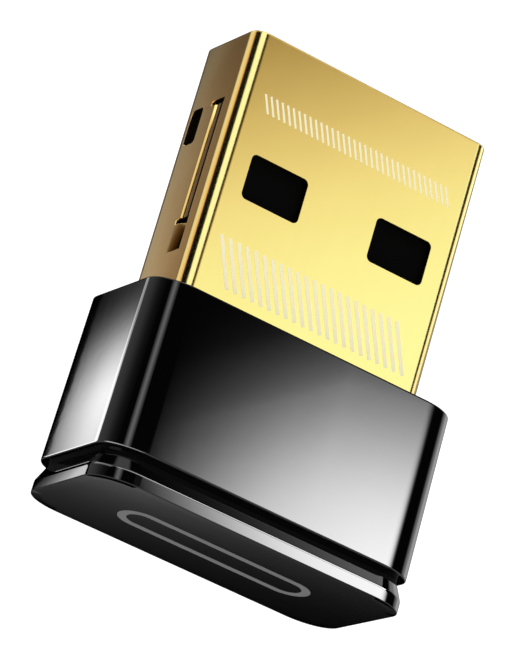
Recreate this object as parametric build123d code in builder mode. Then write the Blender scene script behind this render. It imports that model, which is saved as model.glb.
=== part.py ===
from build123d import *
from math import atan, cos, degrees, radians, sin, tan
import os

os.makedirs("parts", exist_ok=True)

# Wifi adapter for a standard A plug, lying on its back.
# X runs across the plug, Y points to the plug's tip, Z is up and leaves the marked broad face.
# The origin is under the middle of the whole adapter, on the surface that it lies on.
# "From the tip" means a distance measured from the plug's open end towards the housing.
# "Off the axis" means a height above or below the plug's middle plane.

# Plug shell: folded sheet of the standard plug
shell_width = 12.0
shell_depth = 4.5
shell_sheet = 0.3
shell_corner = 0.62
tip_round = 0.1
plug_reach = 12.09
shell_root = 3.2

# Windows in both broad faces, for the socket's springs
window_width = 2.82
window_length = 2.02
window_spacing = 6.32
window_from_tip = 5.18
window_corner = 0.25

# Hole in each side wall
side_hole_from_tip = 3.03
side_hole_length = 1.68
side_hole_depth = 0.92
side_hole_off_axis = -1.06
side_hole_corner = 0.2

# Long strip pressed into each side wall, with the cross slot that frees its upper end
strip_hinge_off_axis = 1.1
slit_off_axis = 0.5
slit_gap = 0.07
strip_press = 0.06
strip_from_tip = 3.18
strip_length = 5.24
slot_length = 0.23
slot_off_axis = 0.05

# Catch tab below the strip, bent inwards towards the marked face
catch_length = 1.54
catch_hinge_off_axis = 0.03
catch_press = 0.4
catch_gap = 0.22
catch_edge_gap = 0.04

# Housing sleeve: walls around the shell's root, with room on each side of it
cavity_side_room = 0.45
cavity_face_room = 0.23
mouth_corner = 1.3
body_height = 7.37
draft_angle = 0.8
edge_round = 0.08
housing_wall = 1.0
housing_skin = 0.9
mouth_wall = 1.2
cavity_corner = 0.4
shell_fit = 0.05

# End cap: lip inside the sleeve, neck, slanted shoulder and rim
groove_height = 0.89
groove_inset = 0.36
neck_straight = 0.13
rim_thickness = 0.51
rim_round = 0.04
cap_floor = 0.8
lip_length = 1.2
lip_wall = 0.45
cap_fit = 0.05

# Carrier and block inside the shell
carrier_side_fit = 0.1
carrier_play = 0.05
carrier_skin = 0.3
carrier_wall = 0.7
carrier_ledge = 0.55
carrier_nose = 0.45
carrier_recess = 0.45
carrier_corner = 0.3
nose_chamfer = 0.25
pocket_clearance = 0.1
mating_length = 9.0

# Circuit board
board_thickness = 0.6
board_fit = 0.05
board_end_gap = 0.1
tail_play = 0.1
shoulder_gap = 0.05

# Contacts, facing the mating space
contact_thickness = 0.1
contact_width = 1.0
outer_contact_offset = 3.5
inner_contact_offset = 1.0
outer_contact_from_tip = 1.3
inner_contact_from_tip = 2.3
contact_margin = 0.3

# Parts on the board: width across the plug, length along it, height
room_over_parts = 0.05
chip_side = 5.0
chip_height = 0.85
chip_corner = 0.15
converter_width = 1.6
converter_length = 1.6
converter_height = 0.75
inductor_width = 2.0
inductor_length = 2.0
inductor_height = 0.8
inductor_corner = 0.3
input_capacitor_width = 0.8
input_capacitor_length = 1.6
input_capacitor_height = 0.8
surge_width = 1.0
surge_length = 0.6
surge_height = 0.5
crystal_width = 1.6
crystal_length = 1.2
crystal_height = 0.4
crystal_rim = 0.12
crystal_lid = 0.1
memory_width = 1.6
memory_length = 1.6
memory_height = 0.55
front_end_width = 2.2
front_end_length = 2.2
front_end_height = 0.6
small_part_width = 0.5
small_part_length = 1.0
capacitor_height = 0.5
resistor_height = 0.35
resistor_count = 4
capacitor_rows = 4
capacitor_pitch = 1.3
diplexer_width = 1.6
diplexer_length = 0.8
diplexer_height = 0.6
matching_count = 3
tail_part_gap = 0.5

# Antenna: bent strip over the far end of the board
antenna_span = 10.0
antenna_length = 2.1
antenna_sheet = 0.2
antenna_rise = 0.65
antenna_end_gap = 0.35
antenna_foot_width = 0.8
antenna_foot_pitch = 2.2
antenna_slot_width = 0.5

# Solder between the shell and the board's shoulders
solder_width = 0.6
solder_length = 0.7
solder_height = 0.5
solder_edge_overhang = 0.1

# Places that follow from the sizes above
overall_length = plug_reach + body_height + groove_height + rim_thickness
tip_y = overall_length / 2
mouth_y = tip_y - plug_reach
base_y = mouth_y - body_height
rim_y = base_y - groove_height
end_y = rim_y - rim_thickness
shell_end_y = mouth_y - shell_root

cavity_width = shell_width + 2 * cavity_side_room
cavity_depth = shell_depth + 2 * cavity_face_room
mouth_width = cavity_width + 2 * housing_wall
mouth_depth = cavity_depth + 2 * housing_skin
draft_growth = body_height * tan(radians(draft_angle))
base_width = mouth_width + 2 * draft_growth
base_depth = mouth_depth + 2 * draft_growth
base_corner = mouth_corner + draft_growth
axis_height = base_depth / 2

shell_inner_width = shell_width - 2 * shell_sheet
shell_inner_depth = shell_depth - 2 * shell_sheet
shell_inner_corner = shell_corner - shell_sheet

lip_width = cavity_width - 2 * cap_fit
lip_depth = cavity_depth - 2 * cap_fit
lip_corner = cavity_corner - cap_fit
pocket_width = lip_width - 2 * lip_wall
pocket_depth = lip_depth - 2 * lip_wall

tallest_part = max(chip_height, converter_height, inductor_height, input_capacitor_height)
part_room = tallest_part + room_over_parts
carrier_width = shell_inner_width - 2 * carrier_side_fit
carrier_top = shell_inner_depth / 2 - carrier_play
board_top = carrier_top - carrier_skin - part_room
board_bottom = board_top - board_thickness
contact_face = board_bottom - contact_thickness
block_bottom = carrier_play - shell_inner_depth / 2

tongue_width = carrier_width - 2 * carrier_wall
board_width = tongue_width - 2 * board_fit
part_field_width = tongue_width - 2 * carrier_ledge
board_front_y = tip_y - carrier_recess - carrier_nose - board_fit
shoulder_y = shell_end_y - shoulder_gap
board_end_y = end_y + cap_floor + board_end_gap
tail_width = pocket_width - 2 * tail_play

strip_end_from_tip = strip_from_tip + strip_length
slot_from_tip = strip_from_tip - slot_length


# Section plane across the adapter: local X is X, local Y is off the axis, extrusions run away from the tip.
def section_plane(y):
    return Plane(origin=(0, y, axis_height), x_dir=(1, 0, 0), z_dir=(0, -1, 0))


# Plane along the middle of the plug: local X is Y measured from the tip, local Y is off the axis.
side_plane = Plane(origin=(0, tip_y, axis_height), x_dir=(0, 1, 0), z_dir=(1, 0, 0))


# Level plane off the axis: local X is X, local Y is Y, extrusions run upwards.
def level_plane(off_axis):
    return Plane.XY.offset(axis_height + off_axis)


# Centres of pieces laid in a line with equal gaps in a room that starts at low and ends at high.
def spread(sizes, low, high):
    gap = (high - low - sum(sizes)) / (len(sizes) + 1)
    centres = []
    edge = low
    for size in sizes:
        centres.append(edge + gap + size / 2)
        edge += gap + size
    return centres


def keep(piece, name):
    piece.part.label = name
    export_step(piece.part, f"parts/{name}.step")


# ---------------------------------------------------------------- plug shell
catch_reach = strip_hinge_off_axis - catch_edge_gap - catch_hinge_off_axis
catch_radius = (catch_reach**2 + catch_press**2) / (2 * catch_press)
catch_angle = atan(catch_reach / (catch_radius - catch_press))
side_x = shell_width / 2
catch_centre_x = side_x - catch_radius
catch_inner_radius = catch_radius - shell_sheet
catch_tip_x = catch_centre_x + catch_inner_radius * cos(catch_angle)


# Rounded openings in the side walls: distance from the tip, length, lower and upper edge, corner
side_openings = [
    (
        side_hole_from_tip,
        side_hole_length,
        side_hole_off_axis - side_hole_depth / 2,
        side_hole_off_axis + side_hole_depth / 2,
        side_hole_corner,
    ),
    (slot_from_tip, slot_length, slot_off_axis, strip_hinge_off_axis, slot_length / 3),
]

with BuildPart() as plug_shell:
    with BuildSketch(section_plane(tip_y)):
        RectangleRounded(shell_width, shell_depth, shell_corner)
    extrude(amount=plug_reach + shell_root)
    fillet(plug_shell.faces().sort_by(Axis.Y)[-1].edges(), tip_round)
    with BuildSketch(section_plane(tip_y)):
        RectangleRounded(shell_inner_width, shell_inner_depth, shell_inner_corner)
    extrude(amount=plug_reach + shell_root, mode=Mode.SUBTRACT)
    with BuildSketch(level_plane(0)):
        with Locations((0, tip_y - window_from_tip - window_length / 2)):
            with GridLocations(window_spacing, 0, 2, 1):
                RectangleRounded(window_width, window_length, window_corner)
    extrude(amount=shell_depth, both=True, mode=Mode.SUBTRACT)
    with BuildSketch(side_plane):
        for from_tip, length, low, high, corner in side_openings:
            with Locations((-from_tip - length / 2, (low + high) / 2)):
                RectangleRounded(length, high - low, corner)
        with Locations((-strip_from_tip - strip_length / 2, (slit_off_axis + strip_hinge_off_axis) / 2)):
            Rectangle(strip_length, strip_hinge_off_axis - slit_off_axis)
        with Locations((-strip_end_from_tip - catch_length / 2, (catch_hinge_off_axis + strip_hinge_off_axis) / 2)):
            Rectangle(catch_length, strip_hinge_off_axis - catch_hinge_off_axis)
    extrude(amount=shell_width, both=True, mode=Mode.SUBTRACT)
    # strip: hinged at its outer line and pressed in along the slit
    with BuildSketch(section_plane(tip_y - strip_from_tip)) as strip_section:
        with BuildLine():
            Polyline(
                (side_x, strip_hinge_off_axis),
                (side_x - strip_press, slit_off_axis + slit_gap),
                (side_x - strip_press - shell_sheet, slit_off_axis + slit_gap),
                (side_x - shell_sheet, strip_hinge_off_axis),
                close=True,
            )
        make_face()
        mirror(about=Plane.YZ)
    extrude(amount=strip_length)
    # catch tab: leaves the wall tangent and curls inwards
    with BuildSketch(section_plane(tip_y - strip_end_from_tip - catch_gap)) as catch_section:
        with BuildLine():
            outer = CenterArc(
                (catch_centre_x, catch_hinge_off_axis), catch_radius, 0, degrees(catch_angle)
            )
            inner = CenterArc(
                (catch_centre_x, catch_hinge_off_axis), catch_inner_radius, 0, degrees(catch_angle)
            )
            Line(outer @ 0, inner @ 0)
            Line(outer @ 1, inner @ 1)
        make_face()
        mirror(about=Plane.YZ)
    extrude(amount=catch_length - catch_gap)
keep(plug_shell, "plug_shell")

# ---------------------------------------------------------------- housing sleeve
with BuildPart() as housing_body:
    with BuildSketch(section_plane(mouth_y)):
        RectangleRounded(mouth_width, mouth_depth, mouth_corner)
    extrude(amount=body_height, taper=-draft_angle)
    fillet(housing_body.faces().sort_by(Axis.Y)[-1].edges(), edge_round)
    fillet(housing_body.faces().sort_by(Axis.Y)[0].edges(), edge_round)
    with BuildSketch(section_plane(mouth_y)):
        RectangleRounded(
            shell_width + 2 * shell_fit, shell_depth + 2 * shell_fit, shell_corner + shell_fit
        )
    extrude(amount=mouth_wall, mode=Mode.SUBTRACT)
    with BuildSketch(section_plane(mouth_y - mouth_wall)):
        RectangleRounded(cavity_width, cavity_depth, cavity_corner)
    extrude(amount=body_height - mouth_wall, mode=Mode.SUBTRACT)
keep(housing_body, "housing_body")

# ---------------------------------------------------------------- end cap
with BuildPart() as end_cap:
    with BuildSketch(section_plane(rim_y)):
        RectangleRounded(base_width, base_depth, base_corner)
    extrude(amount=rim_thickness)
    fillet(end_cap.faces().sort_by(Axis.Y)[0].edges(), rim_round)
    with BuildSketch(section_plane(base_y - neck_straight)):
        RectangleRounded(
            base_width - 2 * groove_inset, base_depth - 2 * groove_inset, base_corner - groove_inset
        )
    with BuildSketch(section_plane(rim_y)):
        RectangleRounded(base_width, base_depth, base_corner)
    loft(ruled=True)
    with BuildSketch(section_plane(base_y)):
        RectangleRounded(
            base_width - 2 * groove_inset, base_depth - 2 * groove_inset, base_corner - groove_inset
        )
    extrude(amount=neck_straight)
    with BuildSketch(section_plane(base_y + lip_length)):
        RectangleRounded(lip_width, lip_depth, lip_corner)
    extrude(amount=lip_length)
    with BuildSketch(section_plane(base_y + lip_length)):
        Rectangle(pocket_width, pocket_depth)
    extrude(amount=base_y + lip_length - end_y - cap_floor, mode=Mode.SUBTRACT)
keep(end_cap, "end_cap")

# ---------------------------------------------------------------- carrier in the plug
carrier_front_y = tip_y - carrier_recess
carrier_length = carrier_front_y - shell_end_y
strip_pocket_half = side_x - strip_press - shell_sheet - pocket_clearance
catch_pocket_half = catch_tip_x - pocket_clearance

with BuildPart() as board_carrier:
    with BuildSketch(section_plane(carrier_front_y)):
        with Locations((0, (carrier_top + board_bottom) / 2)):
            Rectangle(carrier_width, carrier_top - board_bottom)
    extrude(amount=carrier_length)
    fillet(board_carrier.faces().sort_by(Axis.Z)[-1].edges().filter_by(Axis.Y), carrier_corner)
    chamfer(board_carrier.faces().sort_by(Axis.Y)[-1].edges().sort_by(Axis.Z)[0], nose_chamfer)
    with BuildSketch(section_plane(carrier_front_y - carrier_nose)):
        with Locations((0, (board_top + board_bottom) / 2)):
            Rectangle(tongue_width, board_thickness)
        with Locations((0, board_top + part_room / 2)):
            Rectangle(part_field_width, part_room)
    extrude(amount=carrier_length - carrier_nose, mode=Mode.SUBTRACT)
    # side pockets for the pressed strip and the catch tab of the shell
    with BuildSketch(section_plane(tip_y - slot_from_tip)):
        for side in (-1, 1):
            with Locations((side * (strip_pocket_half + side_x) / 2, 0)):
                Rectangle(side_x - strip_pocket_half, 2 * (strip_hinge_off_axis + pocket_clearance))
    extrude(amount=strip_end_from_tip - slot_from_tip, mode=Mode.SUBTRACT)
    with BuildSketch(section_plane(tip_y - strip_end_from_tip)):
        for side in (-1, 1):
            with Locations((side * (catch_pocket_half + side_x) / 2, 0)):
                Rectangle(side_x - catch_pocket_half, 2 * (strip_hinge_off_axis + pocket_clearance))
    extrude(amount=catch_length + pocket_clearance, mode=Mode.SUBTRACT)
keep(board_carrier, "board_carrier")

with BuildPart() as rear_block:
    with BuildSketch(section_plane(tip_y - mating_length)):
        with Locations((0, (board_bottom + block_bottom) / 2)):
            Rectangle(carrier_width, board_bottom - block_bottom)
    extrude(amount=tip_y - mating_length - shell_end_y)
    fillet(rear_block.faces().sort_by(Axis.Z)[0].edges().filter_by(Axis.Y), carrier_corner)
keep(rear_block, "rear_block")

# ---------------------------------------------------------------- circuit board
with BuildPart() as circuit_board:
    with BuildSketch(level_plane(board_bottom)):
        with Locations((0, (board_front_y + shell_end_y) / 2)):
            Rectangle(board_width, board_front_y - shell_end_y)
        with Locations((0, (shell_end_y + shoulder_y) / 2)):
            Rectangle(board_width, shell_end_y - shoulder_y)
        with Locations((0, (shoulder_y + board_end_y) / 2)):
            Rectangle(tail_width, shoulder_y - board_end_y)
    extrude(amount=board_thickness)
keep(circuit_board, "circuit_board")


# ---------------------------------------------------------------- contacts
def contact(name, x, from_tip):
    start_y = tip_y - from_tip
    stop_y = tip_y - mating_length + contact_margin
    with BuildPart() as strip:
        with BuildSketch(level_plane(contact_face)):
            with Locations((x, (start_y + stop_y) / 2)):
                Rectangle(contact_width, start_y - stop_y)
        extrude(amount=contact_thickness)
        chamfer(strip.faces().sort_by(Axis.Y)[-1].edges().sort_by(Axis.Z)[0], contact_thickness / 2)
    keep(strip, name)


contact("power_contact", -outer_contact_offset, outer_contact_from_tip)
contact("data_minus_contact", -inner_contact_offset, inner_contact_from_tip)
contact("data_plus_contact", inner_contact_offset, inner_contact_from_tip)
contact("ground_contact", outer_contact_offset, outer_contact_from_tip)


# ---------------------------------------------------------------- parts on the board
def board_part(name, places, width, length, height, corner=0):
    with BuildPart() as part:
        with BuildSketch(level_plane(board_top)):
            with Locations(*places):
                if corner > 0:
                    RectangleRounded(width, length, corner)
                else:
                    Rectangle(width, length)
        extrude(amount=height)
    keep(part, name)


# Rows run from the board's front edge to its shoulders with equal gaps.
row_lengths = [inductor_length, surge_length, chip_side, front_end_length, small_part_length]
row_places = spread(row_lengths, shoulder_y - board_front_y, 0)
power_row_y, surge_row_y, chip_row_y, radio_row_y, resistor_row_y = [
    board_front_y - (place - (shoulder_y - board_front_y)) for place in row_places
]

field_edge = part_field_width / 2
converter_x, inductor_x, capacitor_one_x, capacitor_two_x = spread(
    [converter_width, inductor_width, input_capacitor_width, input_capacitor_width],
    -field_edge,
    field_edge,
)
board_part(
    "voltage_converter",
    [(converter_x, power_row_y)],
    converter_width,
    converter_length,
    converter_height,
)
board_part(
    "power_inductor",
    [(inductor_x, power_row_y)],
    inductor_width,
    inductor_length,
    inductor_height,
    inductor_corner,
)
board_part(
    "input_capacitors",
    [(capacitor_one_x, power_row_y), (capacitor_two_x, power_row_y)],
    input_capacitor_width,
    input_capacitor_length,
    input_capacitor_height,
)
board_part("surge_protector", [(0, surge_row_y)], surge_width, surge_length, surge_height)
board_part("wifi_chip", [(0, chip_row_y)], chip_side, chip_side, chip_height, chip_corner)

column_x = (field_edge + chip_side / 2) / 2
column_low = chip_row_y - capacitor_pitch * (capacitor_rows - 1) / 2
capacitor_places = [
    (side * column_x, column_low + capacitor_pitch * row)
    for side in (-1, 1)
    for row in range(capacitor_rows)
]
board_part(
    "decoupling_capacitors",
    capacitor_places,
    small_part_width,
    small_part_length,
    capacitor_height,
)

crystal_x, memory_x, front_end_x = spread(
    [crystal_width, memory_width, front_end_width], -field_edge, field_edge
)
board_part(
    "config_memory", [(memory_x, radio_row_y)], memory_width, memory_length, memory_height
)
board_part(
    "front_end_module",
    [(front_end_x, radio_row_y)],
    front_end_width,
    front_end_length,
    front_end_height,
)
with BuildPart() as crystal:
    with BuildSketch(level_plane(board_top)):
        with Locations((crystal_x, radio_row_y)):
            Rectangle(crystal_width, crystal_length)
    extrude(amount=crystal_height)
    with BuildSketch(level_plane(board_top + crystal_height)):
        with Locations((crystal_x, radio_row_y)):
            Rectangle(crystal_width - 2 * crystal_rim, crystal_length - 2 * crystal_rim)
    extrude(amount=crystal_lid)
keep(crystal, "crystal")

resistor_xs = spread([small_part_width] * resistor_count, -field_edge, 0)
board_part(
    "signal_resistors",
    [(x, resistor_row_y) for x in resistor_xs],
    small_part_width,
    small_part_length,
    resistor_height,
)

# Tail of the board, behind the shell: the antenna, with the filter and matching parts beside it.
antenna_back_y = board_end_y + antenna_end_gap
antenna_front_y = antenna_back_y + antenna_length
tail_edge = antenna_span / 2
tail_xs = spread([small_part_width] * matching_count + [diplexer_width], -tail_edge, tail_edge)
tail_row_y = antenna_front_y + tail_part_gap + small_part_length / 2
board_part(
    "antenna_matching_parts",
    [(x, tail_row_y) for x in tail_xs[:matching_count]],
    small_part_width,
    small_part_length,
    capacitor_height,
)
board_part(
    "diplexer", [(tail_xs[-1], tail_row_y)], diplexer_width, diplexer_length, diplexer_height
)

with BuildPart() as antenna:
    with BuildSketch(level_plane(board_top + antenna_rise)):
        with Locations((0, (antenna_back_y + antenna_front_y) / 2)):
            Rectangle(antenna_span, antenna_length)
        with Locations((antenna_foot_pitch - antenna_slot_width, (antenna_back_y + antenna_front_y) / 2)):
            Rectangle(
                antenna_span - 2 * antenna_foot_pitch,
                antenna_slot_width,
                mode=Mode.SUBTRACT,
            )
    extrude(amount=antenna_sheet)
    with BuildSketch(section_plane(antenna_front_y)):
        for foot in (0, 1):
            foot_x = antenna_foot_width / 2 - tail_edge + foot * antenna_foot_pitch
            with Locations((foot_x, board_top + (antenna_rise + antenna_sheet) / 2)):
                Rectangle(antenna_foot_width, antenna_rise + antenna_sheet)
    extrude(amount=antenna_sheet)
keep(antenna, "antenna")

solder_x = tail_width / 2 + solder_edge_overhang - solder_width / 2
with BuildPart() as ground_solder_joints:
    for side in (-1, 1):
        solder_plane = Plane(
            origin=(side * solder_x - solder_width / 2, shell_end_y, axis_height + board_top),
            x_dir=(0, 1, 0),
            z_dir=(1, 0, 0),
        )
        with BuildSketch(solder_plane):
            with BuildLine():
                Polyline((0, 0), (0, solder_height), (-solder_length, 0), close=True)
            make_face()
        extrude(amount=solder_width)
keep(ground_solder_joints, "ground_solder_joints")
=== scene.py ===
import math

import bmesh
import bpy
from mathutils import Matrix, Vector


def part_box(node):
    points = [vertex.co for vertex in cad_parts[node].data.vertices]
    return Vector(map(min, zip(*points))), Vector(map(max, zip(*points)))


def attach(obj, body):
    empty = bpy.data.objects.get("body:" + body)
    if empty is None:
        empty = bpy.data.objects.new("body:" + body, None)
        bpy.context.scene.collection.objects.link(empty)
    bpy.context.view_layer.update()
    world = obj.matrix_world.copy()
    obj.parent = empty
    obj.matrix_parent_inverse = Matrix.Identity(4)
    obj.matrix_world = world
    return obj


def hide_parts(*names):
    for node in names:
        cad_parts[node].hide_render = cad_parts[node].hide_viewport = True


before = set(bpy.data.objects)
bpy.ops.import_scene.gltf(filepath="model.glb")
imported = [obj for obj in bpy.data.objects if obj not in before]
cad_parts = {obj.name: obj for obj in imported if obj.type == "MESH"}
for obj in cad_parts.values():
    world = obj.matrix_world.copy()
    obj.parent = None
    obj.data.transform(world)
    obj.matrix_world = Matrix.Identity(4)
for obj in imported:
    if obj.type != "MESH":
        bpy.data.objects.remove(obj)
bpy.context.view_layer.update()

scene = bpy.context.scene
mm = 0.001
print("stage: frame loaded")

# Places that every piece shares, in millimetres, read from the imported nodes
shellLow, shellHigh = [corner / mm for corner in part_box("plug_shell")]
housingLow, housingHigh = [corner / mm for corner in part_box("housing_body")]
capLow, capHigh = [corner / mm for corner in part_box("end_cap")]
axisZ = (shellLow.z + shellHigh.z) / 2
tipY = shellHigh.y
shellEndY = shellLow.y
mouthY = housingHigh.y
baseY = housingLow.y
endY = capLow.y
shellWidth = shellHigh.x - shellLow.x
shellDepth = shellHigh.z - shellLow.z
baseWidth = capHigh.x - capLow.x
baseDepth = capHigh.z - capLow.z


# Shared mesh code: a loop of points with round corners, which stretch can make oval
def roundedLoop(width, depth, radius, steps, stretch=(1, 1)):
    reachX, reachZ = radius * stretch[0], radius * stretch[1]
    points = []
    for sideX, sideZ, start in ((1, 1, 0), (-1, 1, 90), (-1, -1, 180), (1, -1, 270)):
        for step in range(steps + 1):
            angle = math.radians(start + 90 * step / steps)
            points.append(
                (
                    sideX * (width / 2 - reachX) + reachX * math.cos(angle),
                    sideZ * (depth / 2 - reachZ) + reachZ * math.sin(angle),
                )
            )
    return points


# A profile lists (y, width, depth, corner radius, edge rounding); each edge becomes a short curve
def softProfile(points, closed, steps=4):
    rings = []
    count = len(points)
    for index, point in enumerate(points):
        here, size = Vector(point[:4]), point[4]
        if size == 0 or (not closed and index in (0, count - 1)):
            rings.append(tuple(here))
            continue
        before = Vector(points[index - 1][:4]) - here
        after = Vector(points[(index + 1) % count][:4]) - here
        reachBefore = math.hypot(before[0], before[1] / 2)
        reachAfter = math.hypot(after[0], after[1] / 2)
        for step in range(steps + 1):
            t = step / steps
            rings.append(
                tuple(
                    here
                    + before * (size / reachBefore * (1 - t) ** 2)
                    + after * (size / reachAfter * t**2)
                )
            )
    return rings


def ringSolid(points, closed, cornerSteps=12, stretch=(1, 1)):
    bm = bmesh.new()
    loops = []
    for y, width, depth, radius in softProfile(points, closed):
        loop = roundedLoop(width, depth, radius, cornerSteps, stretch)
        loops.append([bm.verts.new((x, y, z + axisZ)) for x, z in loop])
    count = len(loops[0])
    following = loops[1:] + loops[:1] if closed else loops[1:]
    for ring, nextRing in zip(loops, following):
        for i in range(count):
            j = (i + 1) % count
            bm.faces.new((ring[i], ring[j], nextRing[j], nextRing[i]))
    if not closed:
        bm.faces.new(loops[0])
        bm.faces.new(loops[-1])
    bmesh.ops.recalc_face_normals(bm, faces=bm.faces)
    return bm


def prism(points, travel):
    bm = bmesh.new()
    near = [bm.verts.new(Vector(p)) for p in points]
    far = [bm.verts.new(Vector(p) + Vector(travel)) for p in points]
    bm.faces.new(near)
    bm.faces.new(far)
    for i in range(len(points)):
        j = (i + 1) % len(points)
        bm.faces.new((near[i], near[j], far[j], far[i]))
    bmesh.ops.recalc_face_normals(bm, faces=bm.faces)
    return bm


def asObject(bm, name):
    mesh = bpy.data.meshes.new(name)
    bm.to_mesh(mesh)
    bm.free()
    obj = bpy.data.objects.new(name, mesh)
    scene.collection.objects.link(obj)
    return obj


def bakeModifiers(obj):
    depsgraph = bpy.context.evaluated_depsgraph_get()
    mesh = bpy.data.meshes.new_from_object(obj.evaluated_get(depsgraph))
    obj.modifiers.clear()
    old = obj.data
    obj.data = mesh
    bpy.data.meshes.remove(old)


def combine(target, bm, operation):
    tool = asObject(bm, "tool")
    step = target.modifiers.new("combine", "BOOLEAN")
    step.operation = operation
    step.solver = "EXACT"
    step.object = tool
    bakeModifiers(target)
    bpy.data.objects.remove(tool)


def edgeAngle(edge):
    return edge.calc_face_angle(0) if len(edge.link_faces) == 2 else 0


finishValues = {"merge": 0.0005, "flatAngle": 0.3, "breakAngle": 32, "smoothAngle": 50}


# Breaks the sharp edges, scales to metres, and leaves large faces flat with weighted normals.
def finishPiece(obj, name, material, edgeBreak=0):
    v = finishValues
    bm = bmesh.new()
    bm.from_mesh(obj.data)
    if edgeBreak > 0:
        bmesh.ops.remove_doubles(bm, verts=bm.verts, dist=v["merge"])
        flat = math.radians(v["flatAngle"])
        bmesh.ops.dissolve_limit(bm, angle_limit=flat, verts=bm.verts, edges=bm.edges)
        sharp = [edge for edge in bm.edges if edgeAngle(edge) > math.radians(v["breakAngle"])]
        bmesh.ops.bevel(
            bm,
            geom=sharp,
            offset=edgeBreak,
            segments=2,
            profile=0.5,
            affect="EDGES",
            clamp_overlap=True,
        )
    bmesh.ops.transform(bm, matrix=Matrix.Scale(mm, 4), verts=bm.verts)
    for face in bm.faces:
        face.smooth = True
    for edge in bm.edges:
        edge.smooth = edgeAngle(edge) < math.radians(v["smoothAngle"])
    bm.to_mesh(obj.data)
    bm.free()
    obj.name = obj.data.name = name
    normals = obj.modifiers.new("normals", "WEIGHTED_NORMAL")
    normals.keep_sharp = True
    bakeModifiers(obj)
    obj.data.name = name
    obj.data.materials.clear()
    obj.data.materials.append(material)
    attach(obj, "root")
    return obj


# Shared node code: a node's inputs take numbers, colours or other nodes' results
def feed(tree, node, inputs):
    for name, source in inputs.items():
        socket = node.inputs[name]
        if isinstance(source, bpy.types.NodeSocket):
            tree.links.new(source, socket)
        elif socket.type == "RGBA":
            socket.default_value = (*source, 1)
        else:
            socket.default_value = source


def addNode(tree, kind, inputs, **settings):
    node = tree.nodes.new(kind)
    for name, value in settings.items():
        setattr(node, name, value)
    feed(tree, node, inputs)
    return node.outputs


def newMaterial(name, base, metallic, roughness):
    material = bpy.data.materials.new(name)
    material.use_nodes = True
    tree = material.node_tree
    shader = tree.nodes["Principled BSDF"]
    feed(tree, shader, {"Base Color": base, "Metallic": metallic, "Roughness": roughness})
    return material, tree, shader


def mathNode(tree, operation, *values):
    return addNode(tree, "ShaderNodeMath", dict(enumerate(values)), operation=operation)[0]


def vectorNode(tree, operation, *values):
    return addNode(tree, "ShaderNodeVectorMath", dict(enumerate(values)), operation=operation)


def objectPoint(tree, stretch=(1, 1, 1)):
    point = addNode(tree, "ShaderNodeTexCoord", {})["Object"]
    return addNode(tree, "ShaderNodeMapping", {"Vector": point, "Scale": stretch})["Vector"]


def splitPoint(tree, vector):
    return addNode(tree, "ShaderNodeSeparateXYZ", {"Vector": vector})


def noise(tree, vector, scale, detail):
    inputs = {"Vector": vector, "Scale": scale, "Detail": detail}
    return addNode(tree, "ShaderNodeTexNoise", inputs)["Fac"]


def rescale(tree, value, before=(0, 1), after=(0, 1), curve="LINEAR"):
    inputs = {"Value": value, "From Min": before[0], "From Max": before[1]}
    inputs.update({"To Min": after[0], "To Max": after[1]})
    return addNode(tree, "ShaderNodeMapRange", inputs, interpolation_type=curve)["Result"]


# The Mix node's sockets for the first value, the second value and the result
mixSockets = {"FLOAT": (2, 3, 0), "RGBA": (6, 7, 2)}


def mix(tree, kind, factor, first, second):
    firstSocket, secondSocket, result = mixSockets[kind]
    inputs = {0: factor, firstSocket: first, secondSocket: second}
    return addNode(tree, "ShaderNodeMix", inputs, data_type=kind)[result]


def addBump(tree, shader, height, distance):
    bump = addNode(tree, "ShaderNodeBump", {"Height": height, "Distance": distance})
    feed(tree, shader, {"Normal": bump["Normal"]})


def shaded(colour, share):
    return tuple(channel * share for channel in colour)


# Gold plating
goldValues = {
    "base": (1.0, 0.766, 0.3),
    "baseDeep": (0.97, 0.735, 0.275),
    "roughness": (0.13, 0.18),
    "sideRoughness": (0.05, 0.07),
    "waveScale": 260,
    "waveHeight": 0.000004,
    "waveSpread": (0.0, 0.6),
    "grainScale": 9000,
    "grainHeight": 0.02,
    "streakScale": 5000,
    "streakStretch": (1, 0.04, 1),
    "brightDepth": 0.08,
    "bendBrightDepth": 0.25,
    "tipBright": 0.6,
    "sideDepth": 0.1,
    # painted shade: the colour of the shell's inside
    "insideShade": (0.012, 0.009, 0.004),
    "insideRoughness": 0.6,
}
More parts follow.
